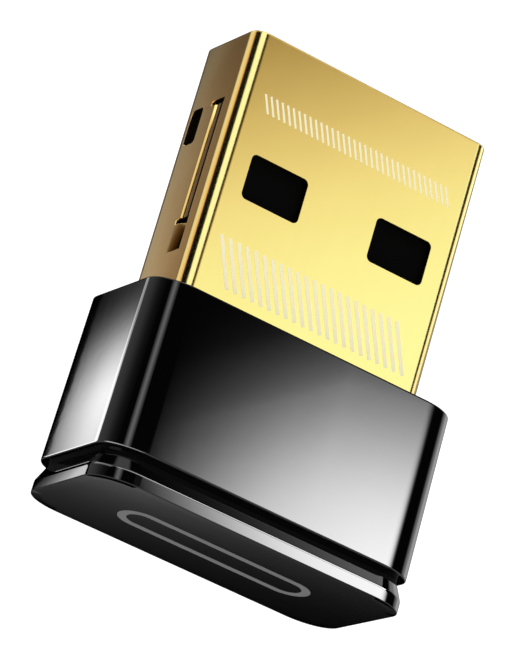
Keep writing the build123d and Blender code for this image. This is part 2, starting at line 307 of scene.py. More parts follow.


# On the shell the plating is bright outside and polished on the side walls; from a little below the
# surface inward it is dull and its colour is darkened as painted shade.
# The contacts' gold is the same all over.
def makeGold(name, forShell):
    v = goldValues
    material, tree, shader = newMaterial(name, v["base"], 1.0, v["roughness"][0])
    point = objectPoint(tree)
    wave = noise(tree, point, v["waveScale"], 1.0)
    grain = noise(tree, point, v["grainScale"], 3.0)
    streaks = noise(tree, objectPoint(tree, v["streakStretch"]), v["streakScale"], 2.0)
    deepness = rescale(tree, wave, after=v["waveSpread"])
    colour = mix(tree, "RGBA", deepness, v["base"], v["baseDeep"])
    both = mathNode(tree, "MULTIPLY_ADD", streaks, 0.5, mathNode(tree, "MULTIPLY", grain, 0.5))
    rough = rescale(tree, both, after=v["roughness"])
    if forShell:
        x, y, z = splitPoint(tree, point)
        across = mathNode(tree, "ABSOLUTE", x)
        height = mathNode(tree, "ABSOLUTE", mathNode(tree, "SUBTRACT", z, axisZ * mm))
        # distance from the middle of the bend's rounding, which is zero along a flat wall
        corner = shellValues["corner"] * mm
        reachX = mathNode(tree, "SUBTRACT", across, shellWidth / 2 * mm - corner)
        reachX = mathNode(tree, "MAXIMUM", reachX, 0.0)
        reachZ = mathNode(tree, "SUBTRACT", height, shellDepth / 2 * mm - corner)
        reachZ = mathNode(tree, "MAXIMUM", reachZ, 0.0)
        squares = mathNode(tree, "MULTIPLY", reachZ, reachZ)
        squares = mathNode(tree, "MULTIPLY_ADD", reachX, reachX, squares)
        depth = mathNode(tree, "SUBTRACT", corner, mathNode(tree, "SQRT", squares))
        bend = mathNode(tree, "GREATER_THAN", mathNode(tree, "MULTIPLY", reachX, reachZ), 0.0)
        bright = rescale(tree, bend, after=(v["brightDepth"] * mm, v["bendBrightDepth"] * mm))
        # painted shade: this mask marks the shell's inside, from a little below its outer surface
        # inward and short of the tip
        inside = mathNode(
            tree,
            "MULTIPLY",
            mathNode(tree, "GREATER_THAN", depth, bright),
            mathNode(tree, "LESS_THAN", y, (tipY - v["tipBright"]) * mm),
        )
        side = mathNode(
            tree,
            "MULTIPLY",
            mathNode(tree, "GREATER_THAN", across, (shellWidth / 2 - v["sideDepth"]) * mm),
            mathNode(tree, "LESS_THAN", reachZ, 1e-9),
        )
        # painted shade: the inside's colour is darkened to near black
        colour = mix(tree, "RGBA", inside, colour, v["insideShade"])
        polish = rescale(tree, streaks, after=v["sideRoughness"])
        rough = mix(tree, "FLOAT", side, rough, polish)
        rough = mix(tree, "FLOAT", inside, rough, v["insideRoughness"])
    feed(tree, shader, {"Base Color": colour, "Roughness": rough})
    relief = mathNode(tree, "MULTIPLY_ADD", grain, v["grainHeight"], wave)
    addBump(tree, shader, relief, v["waveHeight"])
    return material


# Plug shell, in millimetres; heights are above the plug's middle plane
shellValues = {
    "sheet": 0.3,
    "corner": 0.62,
    "tipRound": 0.1,
    "tipInnerRound": 0.05,
    "rootRound": 0.04,
    "rootInnerRound": 0.03,
    "edgeBreak": 0.03,
    "windowWidth": 2.82,
    "windowLength": 2.02,
    "windowSpacing": 6.32,
    "windowFromTip": 5.18,
    "windowCorner": 0.25,
    "sideHole": {"fromTip": 3.03, "length": 1.68, "low": -1.52, "high": -0.6, "corner": 0.2},
    "slot": {"fromTip": 2.95, "length": 0.23, "low": 0.05, "high": 1.1, "corner": 0.075},
    "stripFromTip": 3.18,
    "stripLength": 5.24,
    "stripHinge": 1.1,
    "slit": 0.5,
    "slitGap": 0.07,
    "stripPress": 0.06,
    "stripOverlap": 0.02,
    "catchLength": 1.54,
    "catchHinge": 0.03,
    "catchPress": 0.4,
    "catchGap": 0.22,
    "catchEdgeGap": 0.04,
    "catchSteps": 10,
    "rollRadius": 0.3,
    "rollAngle": 40,
    "rollSteps": 6,
    "cutOverlap": 0.05,
}

shellGold = makeGold("shellGold", True)
contactGold = makeGold("contactGold", False)


def sidePrism(values):
    outline = roundedLoop(values["length"], values["high"] - values["low"], values["corner"], 6)
    middleY = tipY - values["fromTip"] - values["length"] / 2
    middleZ = axisZ + (values["low"] + values["high"]) / 2
    points = [(-shellWidth, middleY + u, middleZ + v) for u, v in outline]
    return prism(points, (2 * shellWidth, 0, 0))


def sidePolygon(corners):
    points = [(-shellWidth, tipY - fromTip, axisZ + off) for fromTip, off in corners]
    return prism(points, (2 * shellWidth, 0, 0))


def wallSection(section, startY, travel):
    return [
        prism([(side * x, startY, axisZ + z) for x, z in section], (0, -travel, 0))
        for side in (-1, 1)
    ]


def makeShell():
    v = shellValues
    sheet = v["sheet"]
    outer = (shellWidth, shellDepth, v["corner"])
    inner = (shellWidth - 2 * sheet, shellDepth - 2 * sheet, v["corner"] - sheet)
    shell = asObject(
        ringSolid(
            [
                (tipY, *outer, v["tipRound"]),
                (shellEndY, *outer, v["rootRound"]),
                (shellEndY, *inner, v["rootInnerRound"]),
                (tipY, *inner, v["tipInnerRound"]),
            ],
            closed=True,
        ),
        "shell",
    )
    for side in (-1, 1):
        outline = roundedLoop(v["windowWidth"], v["windowLength"], v["windowCorner"], 8)
        middleX = side * v["windowSpacing"] / 2
        middleY = tipY - v["windowFromTip"] - v["windowLength"] / 2
        points = [(middleX + x, middleY + y, axisZ - shellDepth) for x, y in outline]
        combine(shell, prism(points, (0, 0, 2 * shellDepth)), "DIFFERENCE")
    combine(shell, sidePrism(v["sideHole"]), "DIFFERENCE")
    combine(shell, sidePrism(v["slot"]), "DIFFERENCE")
    stripStart = v["stripFromTip"]
    stripStop = stripStart + v["stripLength"]
    catchStop = stripStop + v["catchLength"]
    # the strip and the catch tab are cut free together, then bent in
    corners = [
        (stripStart - v["cutOverlap"], v["slit"]),
        (stripStop, v["slit"]),
        (stripStop, v["catchHinge"]),
        (catchStop, v["catchHinge"]),
        (catchStop, v["stripHinge"]),
        (stripStart - v["cutOverlap"], v["stripHinge"]),
    ]
    combine(shell, sidePolygon(corners), "DIFFERENCE")
    halfWidth = shellWidth / 2
    # the wall's edge along the slit is rolled over by the punch
    roll, overlap = v["rollRadius"], v["stripOverlap"]
    steps = v["rollSteps"]
    arc = [math.radians(v["rollAngle"] * step / steps) for step in range(steps + 1)]
    centreX, centreZ = halfWidth - roll, v["slit"] - roll * math.sin(arc[-1])
    section = [(halfWidth + overlap, v["slit"] + overlap), (halfWidth + overlap, centreZ)]
    section += [(centreX + roll * math.cos(a), centreZ + roll * math.sin(a)) for a in arc]
    section += [(centreX + roll * math.cos(arc[-1]), v["slit"] + overlap)]
    for tool in wallSection(section, tipY - stripStart, v["stripLength"] + overlap / 2):
        combine(shell, tool, "DIFFERENCE")
    # the strip joins the wall above its hinge, a hair inside the wall's faces
    hair = overlap / 20
    strip = halfWidth - v["stripPress"]
    slitTop = v["slit"] + v["slitGap"]
    section = [
        (halfWidth, v["stripHinge"]),
        (halfWidth - hair, v["stripHinge"] + overlap),
        (halfWidth - sheet + hair, v["stripHinge"] + overlap),
        (halfWidth - sheet, v["stripHinge"]),
        (strip - sheet, slitTop),
        (strip, slitTop),
    ]
    for tool in wallSection(section, tipY - stripStart, v["stripLength"]):
        combine(shell, tool, "UNION")
    finishPiece(shell, "plugShell", shellGold, v["edgeBreak"])
    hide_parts("plug_shell")
    return shell


# The catch tabs curve in from their hinge lines, one in each side wall.
def makeCatchTabs():
    v = shellValues
    sheet, press = v["sheet"], v["catchPress"]
    halfWidth = shellWidth / 2
    reach = v["stripHinge"] - v["catchEdgeGap"] - v["catchHinge"]
    radius = (reach**2 + press**2) / (2 * press)
    turn = math.atan(reach / (radius - press))
    centre = halfWidth - radius
    angles = [turn * i / v["catchSteps"] for i in range(v["catchSteps"] + 1)]
    section = [(centre + radius * math.cos(a), radius * math.sin(a)) for a in angles]
    section += [
        (centre + (radius - sheet) * math.cos(a), (radius - sheet) * math.sin(a))
        for a in reversed(angles)
    ]
    section = [(x, v["catchHinge"] + z) for x, z in section]
    startY = tipY - v["stripFromTip"] - v["stripLength"] - v["catchGap"]
    both = bmesh.new()
    for tool in wallSection(section, startY, v["catchLength"] - v["catchGap"]):
        part = bpy.data.meshes.new("part")
        tool.to_mesh(part)
        tool.free()
        both.from_mesh(part)
        bpy.data.meshes.remove(part)
    tabs = finishPiece(asObject(both, "tabs"), "catchTabs", contactGold, v["edgeBreak"])
    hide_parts("plug_shell")
    return tabs


plugShell = makeShell()
catchTabs = makeCatchTabs()
print("stage: plug shell", len(plugShell.data.polygons))

# Glossy black plastic
plasticValues = {
    "base": (0.0012, 0.0012, 0.0013),
    "roughness": (0.015, 0.022),
    "hazeScale": 150,
    "peelScale": 700,
    "peelHeight": 0.0000004,
}


def makePlastic(name):
    v = plasticValues
    material, tree, shader = newMaterial(name, v["base"], 0.0, v["roughness"][0])
    point = objectPoint(tree)
    haze = noise(tree, point, v["hazeScale"], 3.0)
    feed(tree, shader, {"Roughness": rescale(tree, haze, after=v["roughness"])})
    addBump(tree, shader, noise(tree, point, v["peelScale"], 2.0), v["peelHeight"])
    return material, tree, shader


# Housing sleeve
housingValues = {
    "draft": 0.8,
    "mouthCorner": 1.3,
    "cornerStretch": (1.308, 0.954),
    "cornerSteps": 20,
    "edgeRound": 0.08,
    "wall": 1.0,
    "skin": 0.9,
    "mouthWall": 1.2,
    "cavityCorner": 0.4,
    "cavityRound": 0.03,
    "holeRound": 0.06,
    "shellFit": 0.05,
}


# Width, depth and corner of the sleeve at its mouth and its open end, and of the cavity inside
def sleeveSections():
    v = housingValues
    growth = (mouthY - baseY) * math.tan(math.radians(v["draft"]))
    mouth = (baseWidth - 2 * growth, baseDepth - 2 * growth, v["mouthCorner"])
    base = (baseWidth, baseDepth, v["mouthCorner"] + growth)
    cavity = (mouth[0] - 2 * v["wall"], mouth[1] - 2 * v["skin"], v["cavityCorner"])
    return mouth, base, cavity


def inset(section, distance):
    width, depth, corner = section
    return width - 2 * distance, depth - 2 * distance, corner - distance


def makeHousing():
    v = housingValues
    mouth, base, cavity = sleeveSections()
    hole = inset((shellWidth, shellDepth, shellValues["corner"]), -v["shellFit"])
    innerY = mouthY - v["mouthWall"]
    profile = [
        (mouthY, *mouth, v["edgeRound"]),
        (baseY, *base, v["edgeRound"]),
        (baseY, *cavity, v["cavityRound"]),
        (innerY, *cavity, 0),
        (innerY, *hole, 0),
        (mouthY, *hole, v["holeRound"]),
    ]
    solid = ringSolid(profile, True, v["cornerSteps"], v["cornerStretch"])
    plastic = makePlastic("housingPlastic")[0]
    housing = finishPiece(asObject(solid, "housing"), "housingBody", plastic)
    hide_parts("housing_body")
    return housing


housingBody = makeHousing()
print("stage: housing", len(housingBody.data.polygons))

# End cap
capValues = {
    "rim": 0.51,
    "grooveHeight": 0.89,
    "grooveInset": 0.36,
    "neckStraight": 0.13,
    "neckRound": 0.04,
    "rimRound": 0.04,
    "rimTopRound": 0.06,
    "faceInset": 0.5,
    "lipLength": 1.2,
    "lipWall": 0.45,
    "lipRound": 0.03,
    "pocketCorner": 0.02,
    "fit": 0.05,
    "floor": 0.8,
    "markLength": 8.8,
    "markHeight": 1.7,
    "markStroke": 0.38,
    "markDepth": 0.012,
    "markColour": (0.21, 0.21, 0.215),
    "markRoughness": 0.4,
    # painted shade: the specular level of the neck and the shoulder's ends
    "grooveShadeSpecular": 0.05,
    "neckMargin": 0.05,
    "endMargin": 0.03,
    "shoulderMargin": 0.1,
}
rimY = endY + capValues["rim"]
shoulderY = rimY + capValues["grooveHeight"] - capValues["neckStraight"]


def makeCapPlastic():
    v = capValues
    material, tree, shader = makePlastic("capPlastic")
    x, y, z = splitPoint(tree, objectPoint(tree))
    across = mathNode(tree, "ABSOLUTE", x)
    # printed outline of a long rounded bar on the end face
    straight = (v["markLength"] - v["markHeight"]) / 2 * mm
    along = mathNode(tree, "MAXIMUM", mathNode(tree, "SUBTRACT", across, straight), 0.0)
    height = mathNode(tree, "SUBTRACT", z, axisZ * mm)
    squares = mathNode(tree, "MULTIPLY", height, height)
    squares = mathNode(tree, "MULTIPLY_ADD", along, along, squares)
    reach = mathNode(tree, "SQRT", squares)
    distance = mathNode(tree, "SUBTRACT", reach, v["markHeight"] / 2 * mm)
    distance = mathNode(tree, "ABSOLUTE", distance)
    mark = mathNode(
        tree,
        "MULTIPLY",
        mathNode(tree, "LESS_THAN", distance, v["markStroke"] / 2 * mm),
        mathNode(tree, "LESS_THAN", y, (endY + v["markDepth"]) * mm),
    )
    glossy = shader.inputs["Roughness"].links[0].from_socket
    rough = mix(tree, "FLOAT", mark, glossy, v["markRoughness"])
    colour = mix(tree, "RGBA", mark, plasticValues["base"], v["markColour"])
    feed(tree, shader, {"Base Color": colour, "Roughness": rough})
    # painted shade: the neck and the shoulder's two ends reflect almost nothing, so they stay dark
    # as if in the groove's shadow
    endX = baseWidth / 2 - v["grooveInset"] - v["endMargin"]
    ends = mathNode(
        tree,
        "MULTIPLY",
        mathNode(tree, "GREATER_THAN", across, endX * mm),
        mathNode(tree, "GREATER_THAN", y, (rimY + v["shoulderMargin"]) * mm),
    )
    neck = mathNode(tree, "GREATER_THAN", y, (shoulderY - v["neckMargin"]) * mm)
    grooveShade = mathNode(tree, "MAXIMUM", neck, ends)
    specular = rescale(tree, grooveShade, after=(0.5, v["grooveShadeSpecular"]))
    feed(tree, shader, {"Specular IOR Level": specular})
    return material


def makeCap():
    v = capValues
    _, rim, cavity = sleeveSections()
    neck = inset(rim, v["grooveInset"])
    lip = inset(cavity, v["fit"])
    pocket = (*inset(lip, v["lipWall"])[:2], v["pocketCorner"])
    neckY = rimY + v["grooveHeight"]
    profile = [
        (endY, *inset(rim, v["faceInset"]), 0),
        (endY, *rim, v["rimRound"]),
        (rimY, *rim, v["rimTopRound"]),
        (shoulderY, *neck, v["neckRound"]),
        (neckY, *neck, 0),
        (neckY, *lip, 0),
        (neckY + v["lipLength"], *lip, v["lipRound"]),
        (neckY + v["lipLength"], *pocket, 0),
        (endY + v["floor"], *pocket, 0),
    ]
    shape = housingValues
    solid = ringSolid(profile, False, shape["cornerSteps"], shape["cornerStretch"])
    cap = finishPiece(asObject(solid, "cap"), "endCap", makeCapPlastic())
    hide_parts("end_cap")
    return cap


endCap = makeCap()
print("stage: end cap", len(endCap.data.polygons))

# Inner pieces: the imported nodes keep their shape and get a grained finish, listed by material
innerFinishes = {
    # the carrier and rear block are black plastic, with colour and reflection made darker still as
    # painted shade inside the plug
    "shadedCarrierPlastic": {
        "nodes": ("board_carrier", "rear_block"),
        "base": (0.0006, 0.0006, 0.0006),
        "roughness": 0.6, "grain": 6000, "depth": 0.000003, "specular": 0.1,
    },
    "chipEpoxy": {
        "nodes": ("wifi_chip", "front_end_module", "config_memory", "voltage_converter",
                  "surge_protector"),
        "base": (0.02, 0.02, 0.022),
        "roughness": 0.55, "grain": 12000, "depth": 0.000004,
    },
    "capacitorCeramic": {
        "nodes": ("diplexer", "input_capacitors", "decoupling_capacitors",
                  "antenna_matching_parts"),
        "base": (0.42, 0.3, 0.19),
        "roughness": 0.4, "grain": 9000, "depth": 0.000002,
    },
    "inductorFerrite": {
        "nodes": ("power_inductor",),
        "base": (0.06, 0.06, 0.065),
        "roughness": 0.6, "grain": 8000, "depth": 0.000006,
    },
    "resistorCoat": {
        "nodes": ("signal_resistors",),
        "base": (0.03, 0.03, 0.035),
        "roughness": 0.35, "grain": 9000, "depth": 0.000002,
    },
    "crystalLid": {
        "nodes": ("crystal",),
        "base": (0.75, 0.75, 0.74), "metallic": 1,
        "roughness": 0.28, "grain": 4000, "depth": 0.000002,
        "variation": 0.15, "stretch": (1, 0.05, 1),
    },
    "antennaMetal": {
        "nodes": ("antenna",),
        "base": (0.78, 0.72, 0.6), "metallic": 1,
        "roughness": 0.25, "grain": 4000, "depth": 0.000002,
        "variation": 0.15, "stretch": (0.05, 1, 1),
    },
    "solder": {
        "nodes": ("ground_solder_joints",),
        "base": (0.66, 0.67, 0.69), "metallic": 1,
        "roughness": 0.3, "grain": 2500, "depth": 0.00001, "variation": 0.2,
    },
}
boardValues = {
    "base": (0.012, 0.05, 0.025),
    "trace": (0.02, 0.085, 0.04),
    "shade": 0.9,
    "traceScale": 700,
    "traceWidth": 0.06,
    "traceHeight": 0.000004,
    "weaveScale": 3500,
    "roughness": (0.26, 0.4),
}
contactNodes = ("power_contact", "data_minus_contact", "data_plus_contact", "ground_contact")


def makeGrained(name, values):
    base, rough = values["base"], values["roughness"]
    material, tree, shader = newMaterial(name, base, values.get("metallic", 0), rough)
    grain = noise(tree, objectPoint(tree, values.get("stretch", (1, 1, 1))), values["grain"], 4.0)
    dark = shaded(base, 1 - values.get("variation", 0.35))
    inputs = {
        "Base Color": mix(tree, "RGBA", grain, dark, base),
        "Roughness": rescale(tree, grain, after=(rough * 0.85, rough * 1.15)),
        "Specular IOR Level": values.get("specular", 0.5),
    }
    feed(tree, shader, inputs)
    addBump(tree, shader, grain, values["depth"])
    return material


def makeBoardMaterial():
    v = boardValues
    material, tree, shader = newMaterial("boardMask", v["base"], 0.0, v["roughness"][0])
    point = objectPoint(tree)
    inputs = {
        "Vector": point,
        "Scale": v["traceScale"],
        "Mortar Size": v["traceWidth"],
        "Color1": v["base"],
        "Color2": shaded(v["base"], v["shade"]),
        "Mortar": v["trace"],
    }
    traces = addNode(tree, "ShaderNodeTexBrick", inputs)
    weave = noise(tree, point, v["weaveScale"], 2.0)
    rough = rescale(tree, weave, after=v["roughness"])
    feed(tree, shader, {"Base Color": traces["Color"], "Roughness": rough})
    addBump(tree, shader, traces["Fac"], v["traceHeight"])
    return material


def dressNodes(names, material):
    for name in names:
        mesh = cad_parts[name].data
        mesh.materials.clear()
        mesh.materials.append(material)


for finishName, finish in innerFinishes.items():
    dressNodes(finish["nodes"], makeGrained(finishName, finish))
dressNodes(("circuit_board",), makeBoardMaterial())
dressNodes(contactNodes, contactGold)
print("stage: inner pieces")

# Etched marks on the plug's broad face: two rows of slanted bars
etchValues = {
    "colour": (0.93, 0.86, 0.57),
    "darkest": 0.86,
    "grainScale": 15000,
    "roughness": (0.36, 0.5),
    "thickness": 0.006,
    "sink": 0.002,
    "fine": {"count": 34, "pitch": 0.28, "width": 0.1, "length": 0.86, "turn": 24, "fromTip": 2.95},
    "bold": {"count": 22, "pitch": 0.42, "width": 0.17, "length": 2.3, "turn": 24, "fromTip": 10.1},
}


# Geometry nodes: a row of thin bars along X, each turned by the same angle.
def makeBarGroup():
    group = bpy.data.node_groups.new("barRow", "GeometryNodeTree")
    sockets = {
        "Count": "Int",
        "Pitch": "Float",
        "Bar Size": "Vector",
        "Turn": "Float",
        "Material": "Material",
    }
    items = {}
    for name, kind in sockets.items():
        item = group.interface.new_socket(name, in_out="INPUT", socket_type="NodeSocket" + kind)
        items[name] = item.identifier
    group.interface.new_socket("Geometry", in_out="OUTPUT", socket_type="NodeSocketGeometry")
    given = addNode(group, "NodeGroupInput", {})
    step = addNode(group, "ShaderNodeCombineXYZ", {"X": given["Pitch"]})[0]
    line = addNode(group, "GeometryNodeMeshLine", {"Count": given["Count"], "Offset": step})[0]
    bar = addNode(group, "GeometryNodeMeshCube", {"Size": given["Bar Size"]})[0]
    turn = addNode(group, "ShaderNodeCombineXYZ", {"Z": given["Turn"]})[0]
    placing = {"Points": line, "Instance": bar, "Rotation": turn}
    bars = addNode(group, "GeometryNodeInstanceOnPoints", placing)[0]
    real = addNode(group, "GeometryNodeRealizeInstances", {"Geometry": bars})[0]
    finish = {"Geometry": real, "Material": given["Material"]}
    result = addNode(group, "GeometryNodeSetMaterial", finish)[0]
    addNode(group, "NodeGroupOutput", {"Geometry": result})
    return group, items


def makeEtchMaterial():
    v = etchValues
    material, tree, shader = newMaterial("etchedMark", v["colour"], 0.0, v["roughness"][0])
    grain = noise(tree, objectPoint(tree), v["grainScale"], 3.0)
    colour = mix(tree, "RGBA", grain, shaded(v["colour"], v["darkest"]), v["colour"])
    rough = rescale(tree, grain, after=v["roughness"])
    feed(tree, shader, {"Base Color": colour, "Roughness": rough})
    return material


def makeBars(name, values, group, items, material):
    thickness = etchValues["thickness"]
    obj = asObject(bmesh.new(), name)
    row = obj.modifiers.new("bars", "NODES")
    row.node_group = group
    row[items["Count"]] = values["count"]
    row[items["Pitch"]] = values["pitch"]
    row[items["Bar Size"]] = (values["width"], values["length"], thickness)
    row[items["Turn"]] = math.radians(values["turn"])
    row[items["Material"]] = material
    bakeModifiers(obj)
    start = -values["pitch"] * (values["count"] - 1) / 2
    height = axisZ + shellDepth / 2 + thickness / 2 - etchValues["sink"]
    move = Matrix.Translation((start, tipY - values["fromTip"], height))
    obj.data.transform(Matrix.Scale(mm, 4) @ move)
    obj.data.name = name
    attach(obj, "root")
    return obj


barGroup, barItems = makeBarGroup()
etchMaterial = makeEtchMaterial()
fineBars = makeBars("fineBars", etchValues["fine"], barGroup, barItems, etchMaterial)
boldBars = makeBars("boldBars", etchValues["bold"], barGroup, barItems, etchMaterial)
print("stage: etched marks")

# Camera, in metres and degrees
cameraValues = {
    "location": (-0.073216, -0.060329, 0.150302),
    "aim": (0.000459, 0.000498, 0.000428),
    "roll": 71.595,
    "lens": 231.387,
    "sensor": 36,
    "clip": (0.005, 20),
}


def makeCamera():
    v = cameraValues
    data = bpy.data.cameras.new("camera")
    data.lens = v["lens"]
    data.sensor_width = v["sensor"]
    data.clip_start, data.clip_end = v["clip"]
    camera = bpy.data.objects.new("camera", data)
    scene.collection.objects.link(camera)
    location = Vector(v["location"])
    forward = (Vector(v["aim"]) - location).normalized()
    level = forward.cross(Vector((0, 0, 1))).normalized()
    upright = level.cross(forward)
    roll = math.radians(v["roll"])
    right = level * math.cos(roll) + upright * math.sin(roll)
    up = upright * math.cos(roll) - level * math.sin(roll)
    turn = Matrix((right, up, -forward)).transposed().to_4x4()
    camera.matrix_world = Matrix.Translation(location) @ turn
    scene.camera = camera


makeCamera()
print("stage: camera")

# Floor, world and studio light, in metres
studioValues = {
    "floorDrop": 0.24,
    "floorSize": 4.0,
    "floorColour": (0.86, 0.86, 0.86),
    "floorShade": 1.03,
    "floorGrain": 40,
    "floorLift": 0.4,
    "worldLight": 0.7,
    "fillRadiance": 1.6,
    "fillSize": 0.5,
    "fillPlace": (-0.12, -0.1, 0.5),
    "flagRadius": 0.205,
    "flagReach": (-0.6, 0.6),
    "flagSides": 72,
    "flagGrey": 0.3,
    "greyHeights": (-0.72, 0.1),
    "flagDark": (-0.06, 0.56),
    "ringBlur": 0.08,
    "flagOpen": (0.5, 1.0),
    "flagPatches": (
        ((0.41, -0.34, -0.84), 24), ((0.41, 0.87, 0.27), 22), ((-0.36, 0.93, -0.05), 20),
    ),
    "patchBlur": 0.04,
}
white = (1, 1, 1)


def seenDirectly(tree):
    path = addNode(tree, "ShaderNodeLightPath", {})
    seen = mathNode(tree, "MAXIMUM", path["Is Camera Ray"], path["Is Glossy Ray"])
    return mathNode(tree, "MAXIMUM", seen, path["Is Transmission Ray"])


def makeWorld():
    world = bpy.data.worlds.new("studio")
    scene.world = world
    world.use_nodes = True
    tree = world.node_tree
    strength = rescale(tree, seenDirectly(tree), after=(studioValues["worldLight"], 1.0))
    feed(tree, tree.nodes["Background"], {"Color": white, "Strength": strength})


def makeFloor():
    v = studioValues
    half = v["floorSize"] / 2
    bm = bmesh.new()
    corners = [(-half, -half), (half, -half), (half, half), (-half, half)]
    bm.faces.new([bm.verts.new((x, y, -v["floorDrop"])) for x, y in corners])
    floor = asObject(bm, "floor")
    material, tree, shader = newMaterial("floorPaper", v["floorColour"], 0, 0.9)
    grain = noise(tree, objectPoint(tree), v["floorGrain"], 3.0)
    light = shaded(v["floorColour"], v["floorShade"])
    inputs = {
        "Base Color": mix(tree, "RGBA", grain, v["floorColour"], light),
        "Emission Color": white,
        "Emission Strength": mathNode(tree, "MULTIPLY", seenDirectly(tree), v["floorLift"]),
    }
    feed(tree, shader, inputs)
    floor.data.materials.append(material)


# A tube of cloth around the plug's axis, which the polished faces see in place of the white room.
# It is black in a ring across the plug and in three patches, grey in the ring's lower right
# quarter, and white everywhere else, a little darker towards the floor.
def makeFlagCloth():
    v = studioValues
    radius = v["flagRadius"]
    material, tree, shader = newMaterial("blackCloth", (0, 0, 0), 0, 1.0)
    point = objectPoint(tree)
    x, _, z = splitPoint(tree, point)
    low, high = v["greyHeights"]
    right = mathNode(tree, "GREATER_THAN", x, 0.0)
    below = mathNode(tree, "LESS_THAN", z, high * radius)
    above = mathNode(tree, "GREATER_THAN", z, low * radius)
    quarter = mathNode(tree, "MULTIPLY", right, mathNode(tree, "MULTIPLY", below, above))
    direction = vectorNode(tree, "NORMALIZE", point)["Vector"]

    # rises from nought to one while the cosine with the axis goes from the lower to the upper value
    def towards(axis, lower, upper):
        cosine = vectorNode(tree, "DOT_PRODUCT", direction, Vector(axis).normalized())["Value"]
        return rescale(tree, cosine, before=(lower, upper), curve="SMOOTHSTEP")

    rear, front = v["flagDark"]
    behind = towards((0, -1, 0), -rear, v["ringBlur"] - rear)
    ahead = towards((0, 1, 0), front, front + v["ringBlur"])
    openPart = mathNode(tree, "MAXIMUM", behind, ahead)
    for axis, angle in v["flagPatches"]:
        edge = math.cos(math.radians(angle))
        patch = towards(axis, edge - v["patchBlur"], edge)
        openPart = mathNode(tree, "MULTIPLY", openPart, mathNode(tree, "SUBTRACT", 1.0, patch))
    level = rescale(tree, z, (-radius, radius), v["flagOpen"], "SMOOTHSTEP")
    bright = mathNode(tree, "MULTIPLY", openPart, level)
    grey = mathNode(tree, "MULTIPLY", quarter, v["flagGrey"])
    inputs = {
        "Specular IOR Level": 0,
        "Emission Color": white,
        "Emission Strength": mathNode(tree, "MAXIMUM", grey, bright),
    }
    feed(tree, shader, inputs)
    return material


def makeFlag():
    v = studioValues
    bm = bmesh.new()
    rows = []
    for index in range(v["flagSides"]):
        angle = 2 * math.pi * index / v["flagSides"]
        x, z = v["flagRadius"] * math.sin(angle), v["flagRadius"] * math.cos(angle)
        rows.append([bm.verts.new((x, y, z)) for y in v["flagReach"]])
    for first, second in zip(rows, rows[1:] + rows[:1]):
        bm.faces.new((*first, *reversed(second)))
    flag = asObject(bm, "blackFlag")
    flag.data.materials.append(makeFlagCloth())
    flag.visible_camera = flag.visible_diffuse = flag.visible_transmission = False
    flag.visible_volume_scatter = flag.visible_shadow = False


def makeFill():
    v = studioValues
    data = bpy.data.lights.new("fill", "AREA")
    data.shape = "SQUARE"
    data.size = v["fillSize"]
    data.energy = v["fillRadiance"] * math.pi * data.size**2
    light = bpy.data.objects.new("fill", data)
    scene.collection.objects.link(light)
    light.location = v["fillPlace"]
    light.rotation_euler = Vector(light.location).to_track_quat("Z", "Y").to_euler()
    light.visible_camera = light.visible_glossy = False


def receivers(name, *pieces):
    group = bpy.data.collections.new(name)
    for piece in pieces:
        group.objects.link(piece)
    return group


# Colour along one direction on the lamp: the stops give a grey or a colour at each place along it.
# With a second direction and an offset, the lower of the two places counts.
def rampColour(tree, place, toward, stops, limit=None):
    reach = vectorNode(tree, "DOT_PRODUCT", place, (*toward, 0))["Value"]
    if limit:
        direction, offset = limit
        second = vectorNode(tree, "DOT_PRODUCT", place, (*direction, 0))["Value"]
        reach = mathNode(tree, "MINIMUM", reach, mathNode(tree, "ADD", second, offset))
    start, stop = min(stops), max(stops)
    ramp = tree.nodes.new("ShaderNodeValToRGB")
    ramp.color_ramp.interpolation = "B_SPLINE"
    elements = ramp.color_ramp.elements
    while len(elements) < len(stops):
        elements.new(0.5)
    for element, (spot, colour) in zip(elements, stops.items()):
        element.position = (spot - start) / (stop - start)
        element.color = (*(colour if isinstance(colour, tuple) else shaded(white, colour)), 1)
    feed(tree, ramp, {"Fac": rescale(tree, reach, before=(start, stop))})
    return ramp.outputs["Color"]


